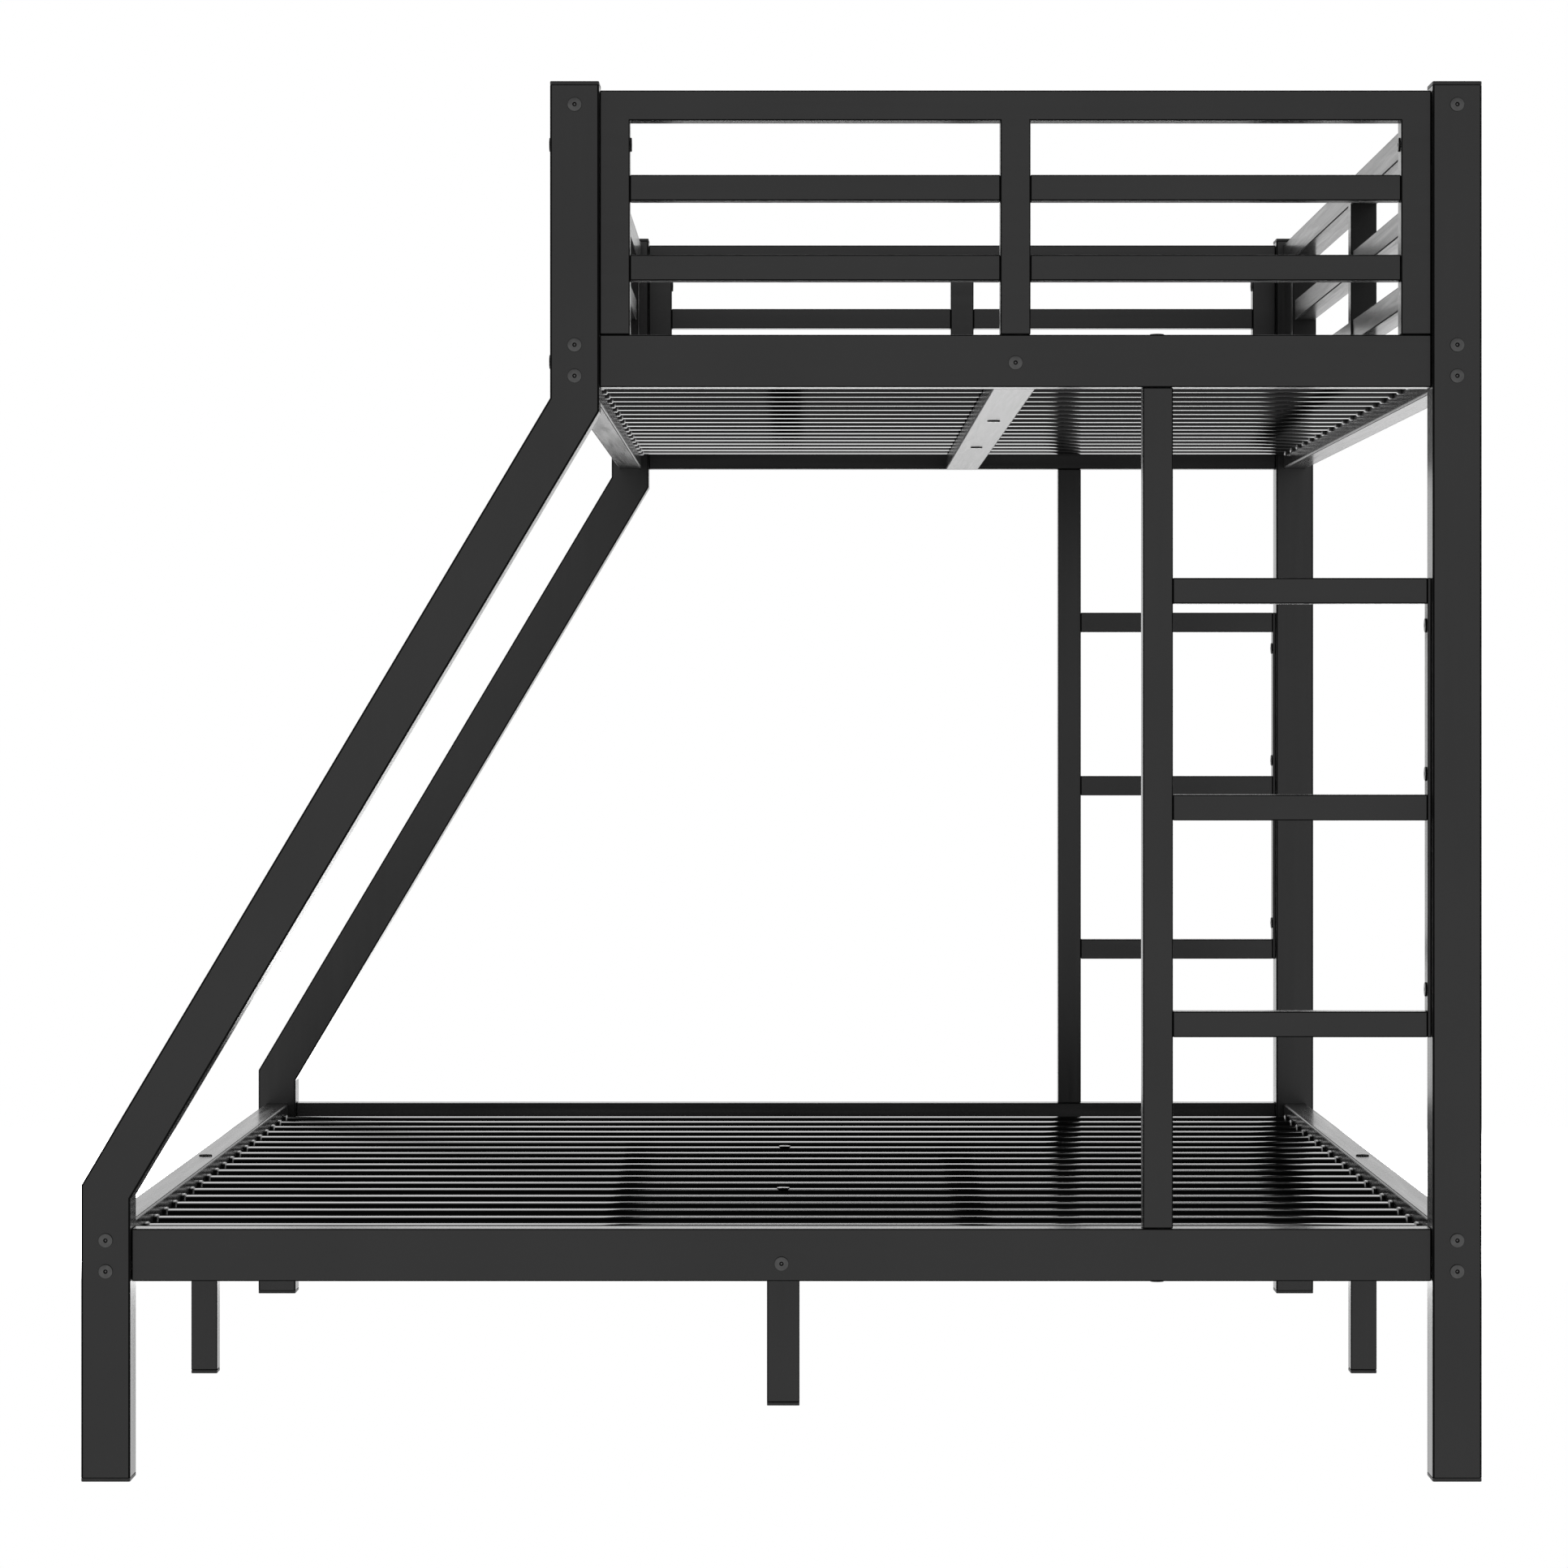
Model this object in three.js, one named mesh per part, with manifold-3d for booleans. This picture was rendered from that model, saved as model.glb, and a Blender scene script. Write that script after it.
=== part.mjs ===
// A metal bunk bed: a narrow bunk over a wide one, on two straight posts and two leaning posts,
// with slatted decks, guardrails round the upper bunk and a ladder at each end.
// Millimetres, +z up, x across with the straight posts at +x, y along the bed, the floor at z = 0.
import * as THREE from "three";
import { mergeVertices } from "three/addons/utils/BufferGeometryUtils.js";
import Module from "manifold-3d";

const wasm = await Module();
wasm.setup();

// Overall sizes, over the posts
const HEIGHT = 1625;
const LENGTH = 2132;
const LOWER_WIDTH = 1625;
const UPPER_WIDTH = 1081;

// Between pieces that touch, and how far a cutting shape runs past what it cuts
const GAP = 0.3;
const PAST = 1;

// Posts: square tube; the leaning pair bends between the two decks
const POST = 57;
const POST_WALL = 1.5;
const POST_ROUND = 3;
const BEND_ABOVE_LOWER_RAIL = 43.5;
const BEND_BELOW_UPPER_RAIL = 21;

// Rails round each deck, with a plate across each end
const RAIL_HIGH = 61;
const RAIL_DEEP = 35;
const RAIL_WALL = 1.2;
const RAIL_ROUND = 2;
const END_PLATE = 3;
const LOWER_RAIL_UP = 231.5;
const UPPER_RAIL_DOWN = 354.5;

// Slats: round tube on a flat centre beam
const SLATS = 20;
const SLAT_ROUND = 28.6;
const SLAT_WALL = 0.8;
const SLAT_SIDES = 8;
const SLAT_ABOVE_RAIL_FOOT = 32.6;
const FIRST_SLAT_IN = 89;
const BEAM_WIDE = 50;
const BEAM_SADDLE = 0.5;

// Guardrails: square tube
const GUARD_TUBE = 35;
const GUARD_BAR = 30;
const GUARD_BARS = 2;
const GUARD_DOWN = 9.5;
const SIDE_UPRIGHT_IN = 127;

// Ladders: one stile, rungs, and a flat strip against the straight post
const STILE = 35;
const RUNG = 30;
const RUNGS = 3;
const LADDER_CLEAR = 300.5;
const STRIP = 4;

// Tube wall and corner of guardrails, ladders and legs
const FRAME_WALL = 1.2;
const FRAME_ROUND = 2;

// Legs under the lower deck
const SIDE_LEG = 35;
const CENTRE_LEG = 42;
const LEG_SLATS_FROM_MIDDLE = 3.5;

// Plastic caps and feet, with a plug inside the tube
const CAP = 4;
const PLUG = 12;
const PLUG_CLEAR = 0.5;

// Bolts: low round head with a socket
const BOLT_HEAD = 16.6;
const HEAD_HIGH = 2.5;
const HEAD_ROUND = 0.7;
const SHANK = 8;
const SHANK_PAST_PLATE = 5;
const SOCKET = 4.6;
const SOCKET_DEEP = 1.4;
const HOLE_CLEAR = 0.5;
const BOLT_SPREAD = 18;
const BOLT_SIDES = 8;

// Places that follow from the sizes
const straightX = (LOWER_WIDTH - POST) / 2;
const leanFootX = -straightX;
const leanTopX = straightX - (UPPER_WIDTH - POST);
const endY = (LENGTH - POST) / 2;
const lowerRail = LOWER_RAIL_UP;
const upperRail = HEIGHT - UPPER_RAIL_DOWN;
const postFoot = CAP + GAP;
const postTop = HEIGHT - CAP - GAP;
const deckLength = 2 * endY - RAIL_DEEP;
const slatPitch = (deckLength - 2 * FIRST_SLAT_IN) / (SLATS - 1);
const beamHigh = SLAT_ABOVE_RAIL_FOOT - SLAT_ROUND / 2 + BEAM_SADDLE;
const holeRound = SHANK + 2 * HOLE_CLEAR;
const shankLong = POST + END_PLATE + SHANK_PAST_PLATE;

const PAINT = { color: 0x353638, roughness: 0.38, metalness: 0.35 };
const STEEL = { color: 0x4a4b4d, roughness: 0.32, metalness: 0.8 };
const PLASTIC = { color: 0x1b1b1c, roughness: 0.6, metalness: 0 };

// Solids

function solid(geometry) {
  const bare = geometry.clone();
  bare.deleteAttribute("normal");
  bare.deleteAttribute("uv");
  const merged = mergeVertices(bare);
  const vertProperties = merged.attributes.position.array;
  const triVerts = new Uint32Array(merged.index.array);
  return new wasm.Manifold(new wasm.Mesh({ numProp: 3, vertProperties, triVerts }));
}

function geometryOf(made) {
  const mesh = made.getMesh();
  const geometry = new THREE.BufferGeometry();
  geometry.setAttribute("position", new THREE.BufferAttribute(mesh.vertProperties, 3));
  geometry.setIndex(new THREE.BufferAttribute(mesh.triVerts, 1));
  geometry.computeVertexNormals();
  return geometry;
}

function join(pieces) {
  return geometryOf(pieces.map(solid).reduce((whole, piece) => whole.add(piece)));
}

function cut(body, tools) {
  return geometryOf(tools.map(solid).reduce((left, tool) => left.subtract(tool), solid(body)));
}

function alongX(geometry) {
  return geometry.rotateY(Math.PI / 2);
}

function alongY(geometry) {
  return geometry.rotateX(-Math.PI / 2);
}

// A rectangle round the origin with its corners rounded.
function roundedRectangle(wide, high, round) {
  const x = wide / 2 - round;
  const y = high / 2 - round;
  const outline = new THREE.Shape();
  outline.absarc(x, y, round, 0, Math.PI / 2);
  outline.absarc(-x, y, round, Math.PI / 2, Math.PI);
  outline.absarc(-x, -y, round, Math.PI, 1.5 * Math.PI);
  outline.absarc(x, -y, round, 1.5 * Math.PI, 2 * Math.PI);
  return outline;
}

// A bar along z with rounded corners, from one height to another.
function roundBar(wide, deep, from, to, round) {
  const outline = roundedRectangle(wide, deep, round);
  const how = { depth: to - from, bevelEnabled: false, curveSegments: 1 };
  return new THREE.ExtrudeGeometry(outline, how).translate(0, 0, from);
}

// A bar along z with sharp corners: the hollow of a tube.
function squareBar(wide, deep, from, to) {
  return new THREE.BoxGeometry(wide, deep, to - from).translate(0, 0, (from + to) / 2);
}

// A rod along z, its middle at the origin.
function rod(round, long, sides) {
  return new THREE.CylinderGeometry(round / 2, round / 2, long, sides).rotateX(Math.PI / 2);
}

function boltHole(long) {
  return rod(holeRound, long, BOLT_SIDES);
}

// Posts

// The points at a distance to one side of a bent line, with a mitre at each bend.
function beside(line, distance) {
  return line.map((point, i) => {
    const before = line[Math.max(i - 1, 0)];
    const after = line[Math.min(i + 1, line.length - 1)];
    const coming = i === 0 ? after.clone().sub(point) : point.clone().sub(before);
    const going = i === line.length - 1 ? coming.clone() : after.clone().sub(point);
    const across = new THREE.Vector2(going.y, -going.x).normalize();
    const mitre = new THREE.Vector2(coming.y, -coming.x).normalize().add(across).normalize();
    return point.clone().addScaledVector(mitre, distance / mitre.dot(across));
  });
}

// A bent bar as deep as it is wide, its centre line in the plane y = 0.
function bentBar(line, size, round) {
  const outline = [...beside(line, size / 2), ...beside(line, -size / 2).reverse()];
  const how = {
    depth: size - 2 * round,
    bevelEnabled: round > 0,
    bevelThickness: round,
    bevelSize: round,
    bevelOffset: -round,
    bevelSegments: 2,
  };
  const bar = new THREE.ExtrudeGeometry(new THREE.Shape(outline), how);
  return bar.translate(0, 0, -how.depth / 2).rotateX(Math.PI / 2);
}

// The bolt holes where the rails of one deck meet a post.
function railHoles(x, rail) {
  const middle = rail + RAIL_HIGH / 2;
  const through = POST + 2 * PAST;
  const low = alongY(boltHole(through)).translate(x, 0, middle - BOLT_SPREAD);
  const high = alongY(boltHole(through)).translate(x, 0, middle + BOLT_SPREAD);
  const across = alongX(boltHole(through)).translate(x, 0, middle);
  return [low, high, across];
}

// A square tube on a centre line of [x, z] points, drawn too long and cut off flat at both ends.
function post(points, footX, topX) {
  const line = points.map(([x, z]) => new THREE.Vector2(x, z));
  const outside = bentBar(line, POST, POST_ROUND);
  const inside = bentBar(line, POST - 2 * POST_WALL, 0);
  const below = squareBar(2 * POST, 2 * POST, -2 * POST, postFoot).translate(footX, 0, 0);
  const above = squareBar(2 * POST, 2 * POST, postTop, HEIGHT + 2 * POST).translate(topX, 0, 0);
  const holes = [...railHoles(footX, lowerRail), ...railHoles(topX, upperRail)];
  return cut(outside, [inside, below, above, ...holes]);
}

function straightPost() {
  const ends = [[0, -POST], [0, HEIGHT + POST]];
  return post(ends, 0, 0);
}

function leaningPost() {
  const lean = leanTopX - leanFootX;
  const lowerBend = lowerRail + RAIL_HIGH + BEND_ABOVE_LOWER_RAIL;
  const upperBend = upperRail - BEND_BELOW_UPPER_RAIL;
  const bends = [[0, -POST], [0, lowerBend], [lean, upperBend], [lean, HEIGHT + POST]];
  return post(bends, 0, lean);
}

// Rails

// A rail along z from -long / 2 to long / 2, plated at both ends, with bolt holes in the plates.
function rail(wide, deep, long, holes) {
  const outside = roundBar(wide, deep, -long / 2, long / 2, RAIL_ROUND);
  const hollow = long / 2 - END_PLATE;
  const inside = squareBar(wide - 2 * RAIL_WALL, deep - 2 * RAIL_WALL, -hollow, hollow);
  const bores = holes.map(([x, y]) => boltHole(long + 2 * PAST).translate(x, y, 0));
  return cut(outside, [inside, ...bores]);
}

function sideRail() {
  const long = LENGTH - 2 * POST - 2 * GAP;
  return alongY(rail(RAIL_DEEP, RAIL_HIGH, long, [[0, -BOLT_SPREAD], [0, BOLT_SPREAD]]));
}

function endRail(width) {
  const long = width - 2 * POST - 2 * GAP;
  return alongX(rail(RAIL_HIGH, RAIL_DEEP, long, [[0, 0]]));
}

// Slatted decks

// The slats and their centre beam, the rail's underside at z = 0: the outside, or the hollow
// inside when inset by the walls. The slats sink a little into the beam, as if in saddles.
function slatShape(width, slatInset, beamInset, past) {
  const beam = [BEAM_WIDE - 2 * beamInset, beamHigh - 2 * beamInset];
  const reach = deckLength / 2 - GAP + past;
  const long = width - RAIL_DEEP - POST - 2 * GAP + 2 * past;
  const pieces = [alongY(squareBar(...beam, -reach, reach)).translate(0, 0, beamHigh / 2)];
  for (let i = 0; i < SLATS; i++) {
    const slat = alongX(rod(SLAT_ROUND - 2 * slatInset, long, SLAT_SIDES));
    const y = (i - (SLATS - 1) / 2) * slatPitch;
    pieces.push(slat.translate(0, y, SLAT_ABOVE_RAIL_FOOT));
  }
  return join(pieces);
}

function slatRack(width) {
  return cut(slatShape(width, 0, 0, 0), [slatShape(width, SLAT_WALL, FRAME_WALL, PAST)]);
}

// Guardrails

// A guardrail along x with its feet at z = 0: the outside, or the hollow inside when inset by
// the wall. The tubes open into each other where they are welded.
function guardShape(long, spread, inset, past) {
  const bar = inset > 0 ? squareBar : roundBar;
  const topMiddle = UPPER_RAIL_DOWN - RAIL_HIGH - GAP - GUARD_DOWN - GUARD_TUBE / 2;
  const clear = topMiddle - GUARD_TUBE / 2;
  const space = (clear - GUARD_BARS * GUARD_BAR) / (GUARD_BARS + 1);
  const tube = GUARD_TUBE - 2 * inset;
  const thin = GUARD_BAR - 2 * inset;
  const end = long / 2 + past;
  const pieces = [alongX(bar(tube, tube, -end, end, FRAME_ROUND)).translate(0, 0, topMiddle)];
  for (const x of [-spread, 0, spread]) {
    pieces.push(bar(tube, tube, -past, topMiddle, FRAME_ROUND).translate(x, 0, 0));
  }
  for (let i = 0; i < GUARD_BARS; i++) {
    const z = space + GUARD_BAR / 2 + i * (space + GUARD_BAR);
    pieces.push(alongX(bar(thin, thin, -spread, spread, FRAME_ROUND)).translate(0, 0, z));
  }
  return join(pieces);
}

function guardrail(long, spread) {
  return cut(guardShape(long, spread, 0, 0), [guardShape(long, spread, FRAME_WALL, PAST)]);
}

function endGuardrail() {
  const long = UPPER_WIDTH - 2 * POST - 2 * GAP;
  return guardrail(long, (long - GUARD_TUBE) / 2);
}

function sideGuardrail() {
  const long = LENGTH - 2 * POST - 2 * GAP;
  return guardrail(long, (long - GUARD_TUBE) / 2 + GAP - SIDE_UPRIGHT_IN).rotateZ(Math.PI / 2);
}

// Ladders

// The stile at x = 0 with the rungs to its right: the outside, or the hollow inside.
function ladderShape(high, rungMiddles, rungEnd, inset, past) {
  const bar = inset > 0 ? squareBar : roundBar;
  const tube = STILE - 2 * inset;
  const thin = RUNG - 2 * inset;
  const pieces = [bar(tube, tube, -past, high + past, FRAME_ROUND)];
  for (const z of rungMiddles) {
    pieces.push(alongX(bar(thin, thin, 0, rungEnd, FRAME_ROUND)).translate(0, 0, z));
  }
  return join(pieces);
}

function ladder() {
  const foot = lowerRail + RAIL_HIGH + GAP;
  const high = upperRail - GAP - foot;
  const step = (upperRail + RAIL_HIGH / 2 - foot) / (RUNGS + 1);
  const rungMiddles = Array.from({ length: RUNGS }, (_, i) => (i + 1) * step - RUNG / 2);
  const stripX = STILE / 2 + LADDER_CLEAR - GAP - STRIP / 2;
  const stripFoot = rungMiddles[0] - RUNG / 2;
  const stripTop = rungMiddles[RUNGS - 1] + RUNG / 2;
  const strip = squareBar(STRIP, RUNG, stripFoot, stripTop).translate(stripX, 0, 0);
  const outside = join([ladderShape(high, rungMiddles, stripX, 0, 0), strip]);
  const inside = ladderShape(high, rungMiddles, stripX - STRIP / 2, FRAME_WALL, PAST);
  return cut(outside, [inside]);
}

// Legs, caps and bolts

// A tube with its foot at z = 0, open below, with a bolt hole in the plate across its top.
function leg(size) {
  const high = lowerRail - GAP - postFoot;
  const outside = roundBar(size, size, 0, high, FRAME_ROUND);
  const hollow = size - 2 * FRAME_WALL;
  const inside = squareBar(hollow, hollow, -PAST, high - END_PLATE);
  const plateHole = boltHole(END_PLATE + 2 * PAST).translate(0, 0, high - END_PLATE / 2);
  return cut(outside, [inside, plateHole]);
}

// A cap lying on z = 0 with its plug upwards, for a tube of the given size.
function cap(size, wall, round) {
  const plug = size - 2 * wall - 2 * PLUG_CLEAR;
  return join([roundBar(size, size, 0, CAP, round), squareBar(plug, plug, CAP / 2, CAP + PLUG)]);
}

// A bolt along z, the underside of its head at z = 0 and its shank downwards.
function bolt() {
  const profile = [
    [0, -shankLong],
    [SHANK / 2, -shankLong],
    [SHANK / 2, 0],
    [BOLT_HEAD / 2, 0],
    [BOLT_HEAD / 2, HEAD_HIGH - HEAD_ROUND],
    [BOLT_HEAD / 2 - HEAD_ROUND, HEAD_HIGH],
    [SOCKET / 2, HEAD_HIGH],
    [SOCKET / 2, HEAD_HIGH - SOCKET_DEEP],
    [0, HEAD_HIGH - SOCKET_DEEP],
  ];
  const points = profile.map(([x, y]) => new THREE.Vector2(x, y));
  return geometryOf(solid(new THREE.LatheGeometry(points, BOLT_SIDES).rotateX(Math.PI / 2)));
}

// The whole bed

const bed = new THREE.Group();
bed.name = "bunk_bed";

function add(name, geometry, finish, x, y, z) {
  const mesh = new THREE.Mesh(geometry, new THREE.MeshStandardMaterial(finish));
  mesh.name = name;
  mesh.position.set(x, y, z);
  bed.add(mesh);
  return mesh;
}

const ends = [
  { name: "front", y: -endY, out: -1 },
  { name: "back", y: endY, out: 1 },
];
const decks = [
  { name: "lower", leftX: leanFootX, rail: lowerRail, width: LOWER_WIDTH },
  { name: "upper", leftX: leanTopX, rail: upperRail, width: UPPER_WIDTH },
];

const postShapes = { lean: leaningPost(), straight: straightPost() };
const postCap = cap(POST, POST_WALL, POST_ROUND);
for (const end of ends) {
  const posts = [
    { name: "lean", footX: leanFootX, topX: leanTopX },
    { name: "straight", footX: straightX, topX: straightX },
  ];
  for (const post of posts) {
    const name = `${end.name}_${post.name}_post`;
    add(name, postShapes[post.name], PAINT, post.footX, end.y, 0);
    add(`${name}_foot`, postCap, PLASTIC, post.footX, end.y, 0);
    add(`${name}_cap`, postCap, PLASTIC, post.topX, end.y, HEIGHT).rotation.x = Math.PI;
  }
}

for (const deck of decks) {
  const middleX = (deck.leftX + straightX) / 2;
  const railMiddle = deck.rail + RAIL_HIGH / 2;
  const endRailShape = endRail(deck.width);
  for (const end of ends) {
    add(`${end.name}_${deck.name}_end_rail`, endRailShape, PAINT, middleX, end.y, railMiddle);
  }
  add(`left_${deck.name}_side_rail`, sideRail(), PAINT, deck.leftX, 0, railMiddle);
  add(`right_${deck.name}_side_rail`, sideRail(), PAINT, straightX, 0, railMiddle);
  add(`${deck.name}_slat_rack`, slatRack(deck.width), PAINT, middleX, 0, deck.rail);
}

const guardFoot = upperRail + RAIL_HIGH + GAP;
const upperMiddleX = (leanTopX + straightX) / 2;
for (const end of ends) {
  add(`${end.name}_guardrail`, endGuardrail(), PAINT, upperMiddleX, end.y, guardFoot);
}
add("left_guardrail", sideGuardrail(), PAINT, leanTopX, 0, guardFoot);
add("right_guardrail", sideGuardrail(), PAINT, straightX, 0, guardFoot);

const stileX = straightX - POST / 2 - LADDER_CLEAR - STILE / 2;
for (const end of ends) {
  add(`${end.name}_ladder`, ladder(), PAINT, stileX, end.y, lowerRail + RAIL_HIGH + GAP);
}

const legY = LEG_SLATS_FROM_MIDDLE * slatPitch;
const legs = [
  { name: "left_side_leg", size: SIDE_LEG, x: leanFootX, y: 0 },
  { name: "right_side_leg", size: SIDE_LEG, x: straightX, y: 0 },
  { name: "front_centre_leg", size: CENTRE_LEG, x: 0, y: -legY },
  { name: "back_centre_leg", size: CENTRE_LEG, x: 0, y: legY },
];
for (const { name, size, x, y } of legs) {
  add(name, leg(size), PAINT, x, y, postFoot);
  add(`${name}_foot`, cap(size, FRAME_WALL, FRAME_ROUND), PLASTIC, x, y, 0);
}

const headOut = POST / 2 + GAP;
for (const end of ends) {
  for (const deck of decks) {
    const middle = deck.rail + RAIL_HIGH / 2;
    const corners = [
      { name: "lean", x: deck.leftX, out: -1 },
      { name: "straight", x: straightX, out: 1 },
    ];
    for (const corner of corners) {
      const name = `${end.name}_${corner.name}_${deck.name}`;
      const y = end.y + end.out * headOut;
      const low = add(`${name}_bolt_low`, bolt(), STEEL, corner.x, y, middle - BOLT_SPREAD);
      const high = add(`${name}_bolt_high`, bolt(), STEEL, corner.x, y, middle + BOLT_SPREAD);
      low.rotation.x = (-end.out * Math.PI) / 2;
      high.rotation.x = (-end.out * Math.PI) / 2;
      const x = corner.x + corner.out * headOut;
      add(`${name}_bolt_end`, bolt(), STEEL, x, end.y, middle).rotation.y = (corner.out * Math.PI) / 2;
    }
  }
}

export default bed;
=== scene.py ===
# %% [markdown]
# # A metal bunk bed
# The bed is a narrow bunk over a wide one, held by two straight posts and two leaning posts, with
# slatted decks, guardrails round the upper bunk and a ladder at each end. Its measured frame is
# ready. Here each piece of that frame is modelled again with the detail the real one shows, such
# as rounded tube corners, welded frames, plastic caps and socket bolts, and gets its finish.

# %% Load the frame
import math

import bmesh
import bpy
from mathutils import Matrix, Vector


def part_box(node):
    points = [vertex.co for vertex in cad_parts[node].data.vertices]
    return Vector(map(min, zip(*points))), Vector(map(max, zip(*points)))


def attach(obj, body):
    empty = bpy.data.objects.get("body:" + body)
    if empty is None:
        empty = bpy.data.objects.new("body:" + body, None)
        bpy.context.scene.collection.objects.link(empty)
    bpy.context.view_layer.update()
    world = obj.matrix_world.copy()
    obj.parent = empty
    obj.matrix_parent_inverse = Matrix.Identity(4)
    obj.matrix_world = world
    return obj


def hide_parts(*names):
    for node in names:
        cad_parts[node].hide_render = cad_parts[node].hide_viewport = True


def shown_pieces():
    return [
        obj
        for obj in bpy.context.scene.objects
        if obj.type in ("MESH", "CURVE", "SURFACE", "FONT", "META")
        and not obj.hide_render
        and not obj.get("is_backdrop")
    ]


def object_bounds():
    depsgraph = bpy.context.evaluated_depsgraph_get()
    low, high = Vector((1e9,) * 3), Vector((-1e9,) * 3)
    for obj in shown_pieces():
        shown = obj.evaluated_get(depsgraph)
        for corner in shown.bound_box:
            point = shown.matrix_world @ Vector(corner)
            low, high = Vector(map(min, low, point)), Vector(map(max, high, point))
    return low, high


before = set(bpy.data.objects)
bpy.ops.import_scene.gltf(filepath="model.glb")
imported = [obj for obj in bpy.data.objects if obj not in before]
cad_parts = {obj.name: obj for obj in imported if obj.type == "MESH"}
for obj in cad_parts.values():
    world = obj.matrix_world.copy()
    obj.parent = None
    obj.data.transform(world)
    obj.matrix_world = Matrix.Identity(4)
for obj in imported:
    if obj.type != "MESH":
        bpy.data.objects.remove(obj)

frame_low, frame_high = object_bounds()
print(len(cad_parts), "pieces in a box of", [round(v, 4) for v in frame_high - frame_low])

# %% [markdown]
# ## Where the camera stands
# The bed is looked at from in front of one end, level, from a little over six metres away. A long
# lens keeps the tubes parallel. The camera isn't tilted, because that would make the posts lean:
# the lens is shifted instead, as on an architect's camera, to put the bed in the middle.

# %% The camera
EYE_BACK = 6.323
EYE_SIDE = 0.021
EYE_HEIGHT = 0.885
FOCAL_LENGTH = 125.2
SENSOR = 36
SHIFT_ACROSS = -0.0099
SHIFT_UP = -0.0415
SEES_AS_FAR_AS = 200

lens = bpy.data.cameras.new("end_view")
lens.sensor_width = SENSOR
lens.lens = FOCAL_LENGTH
lens.shift_x = SHIFT_ACROSS
lens.shift_y = SHIFT_UP
lens.clip_end = SEES_AS_FAR_AS
camera = bpy.data.objects.new("end_view", lens)
camera.location = (EYE_SIDE, frame_low.y - EYE_BACK, EYE_HEIGHT)
camera.rotation_euler = (math.radians(90), 0, 0)
bpy.context.scene.collection.objects.link(camera)
bpy.context.scene.camera = camera
print("The camera stands at", [round(v, 3) for v in camera.location])

# %% [markdown]
# ## A white studio
# Dark glossy paint shows mostly what it mirrors, so the room matters more than the lamps. Near the
# horizon the room is an even white, which flat faces mirror when they are seen edge on. Behind
# the bed, well above the horizon, it is several times brighter: that draws one thin bright line
# along every round slat. Overhead it is nearly dark, which leaves deep black between those lines.

# %% Helpers for the room and the floor
def shade_by(nodes, links, value, stops):
    """A smooth run of greys over a value from 0 to 1, given as (value, grey) stops."""
    run = nodes.new("ShaderNodeValToRGB")
    marks = run.color_ramp.elements
    while len(marks) < len(stops):
        marks.new(0.5)
    for mark, (position, grey) in zip(marks, stops):
        mark.position = position
        mark.color = (grey, grey, grey, 1)
    links.new(value, run.inputs["Fac"])
    return run.outputs["Color"]


def stretch_range(nodes, links, value, old, new):
    """A value carried from an old range to a new one."""
    change = nodes.new("ShaderNodeMapRange")
    change.inputs["From Min"].default_value, change.inputs["From Max"].default_value = old
    change.inputs["To Min"].default_value, change.inputs["To Max"].default_value = new
    links.new(value, change.inputs["Value"])
    return change.outputs["Result"]


def combine(nodes, links, how, first, second):
    """Two values added or multiplied."""
    sum_or_product = nodes.new("ShaderNodeMath")
    sum_or_product.operation = how
    links.new(first, sum_or_product.inputs[0])
    links.new(second, sum_or_product.inputs[1])
    return sum_or_product.outputs["Value"]


def above_horizon(height):
    """The stop for a height above the horizon, from -1 straight down to 1 straight up."""
    return (height + 1) / 2


print("The horizon is at", above_horizon(0), "of the way from straight down to straight up")

# %% The room
BACK_GLOW = 6.0
FRONT_GLOW = 0.35
OVERHEAD = 0.06
GLOW_TURNS = (0, 0.35)
WALL_FADES = (0.25, 0.4)
BAND_RISES = (0.3, 0.46)
BAND_FALLS = (0.85, 0.92)

studio = bpy.data.worlds.new("white_studio")
studio.use_nodes = True
nodes, links = studio.node_tree.nodes, studio.node_tree.links
look = nodes.new("ShaderNodeTexCoord")
parts = nodes.new("ShaderNodeSeparateXYZ")
links.new(look.outputs["Generated"], parts.inputs["Vector"])
height = stretch_range(nodes, links, parts.outputs["Z"], (-1, 1), (0, 1))
glow = stretch_range(nodes, links, parts.outputs["Y"], GLOW_TURNS, (FRONT_GLOW, BACK_GLOW))
wall = [(0, 1), (above_horizon(WALL_FADES[0]), 1), (above_horizon(WALL_FADES[1]), OVERHEAD)]
band = [(above_horizon(BAND_RISES[0]), 0), (above_horizon(BAND_RISES[1]), 1)]
band += [(above_horizon(BAND_FALLS[0]), 1), (above_horizon(BAND_FALLS[1]), 0)]
walls = shade_by(nodes, links, height, wall)
above = combine(nodes, links, "MULTIPLY", shade_by(nodes, links, height, band), glow)
brightness = combine(nodes, links, "ADD", walls, above)
links.new(brightness, nodes["Background"].inputs["Strength"])
nodes["Background"].inputs["Color"].default_value = (1, 1, 1, 1)
bpy.context.scene.world = studio
bpy.context.scene.view_settings.view_transform = "Standard"
print("The room glows from", OVERHEAD, "overhead to", BACK_GLOW, "behind the bed")

# %% [markdown]
# ## The lamp and the floor
# One large lamp hangs over the bed and gives a soft light to whatever faces up. The paint isn't
# let mirror it, because that would put patches of light on the lower slats wherever the upper deck
# leaves the lamp free. The floor is white and gives off its own light, because the undersides of
# the rails mirror it. A strip of it behind the bed is brighter, for the slats of the upper bunk,
# which are seen from below. To the camera all of it is simply white.

# %% The lamp
LAMP_ACROSS = 3.0
LAMP_POWER = 14.0
LAMP_ABOVE_BED = 1.6

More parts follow.
